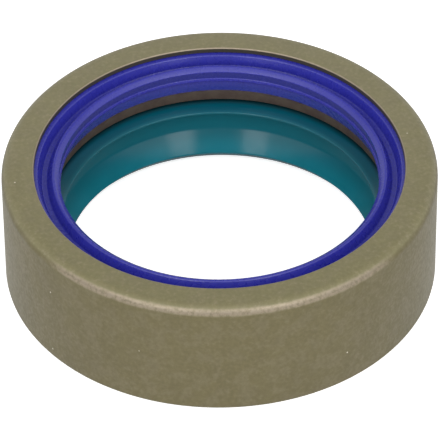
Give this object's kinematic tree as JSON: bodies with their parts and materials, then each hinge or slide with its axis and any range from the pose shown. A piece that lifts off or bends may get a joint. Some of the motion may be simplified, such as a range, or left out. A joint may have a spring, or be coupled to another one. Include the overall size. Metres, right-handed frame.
{
  "type": "wheel hub oil seal",
  "caption": "Shaft seal in a drawn steel case: a blue dirt wiper with two lips under the flange, and a green rubber seal with a dust lip and a spring-loaded main lip below.",
  "frame": {"origin": "centre of the lower rim's face, on the shaft's axis", "axes": "+Z along the shaft towards the outer side with the flange and the wiper; -Z is the oil side. X and Y are free, because the part is round"},
  "size_m": [0.09, 0.09, 0.027],
  "materials": {
    "case_steel": "olive phosphate, satin, with faint mottling",
    "wiper_polyurethane": "blue-violet polyurethane, satin",
    "coated_steel": "brown bonding agent on steel, matt",
    "insert_steel": "thin brown bonding agent on steel, matt",
    "seal_rubber": "blue-green moulded rubber, glossy lip",
    "spring_steel": "bright drawn spring wire"
  },
  "bodies": {
    "root": {"outer_case": "case_steel", "wiper_ring": "wiper_polyurethane", "spacer_ring": "coated_steel", "seal_insert": "insert_steel", "seal_ring": "seal_rubber", "garter_spring": "spring_steel"}
  },
  "joints": []
}
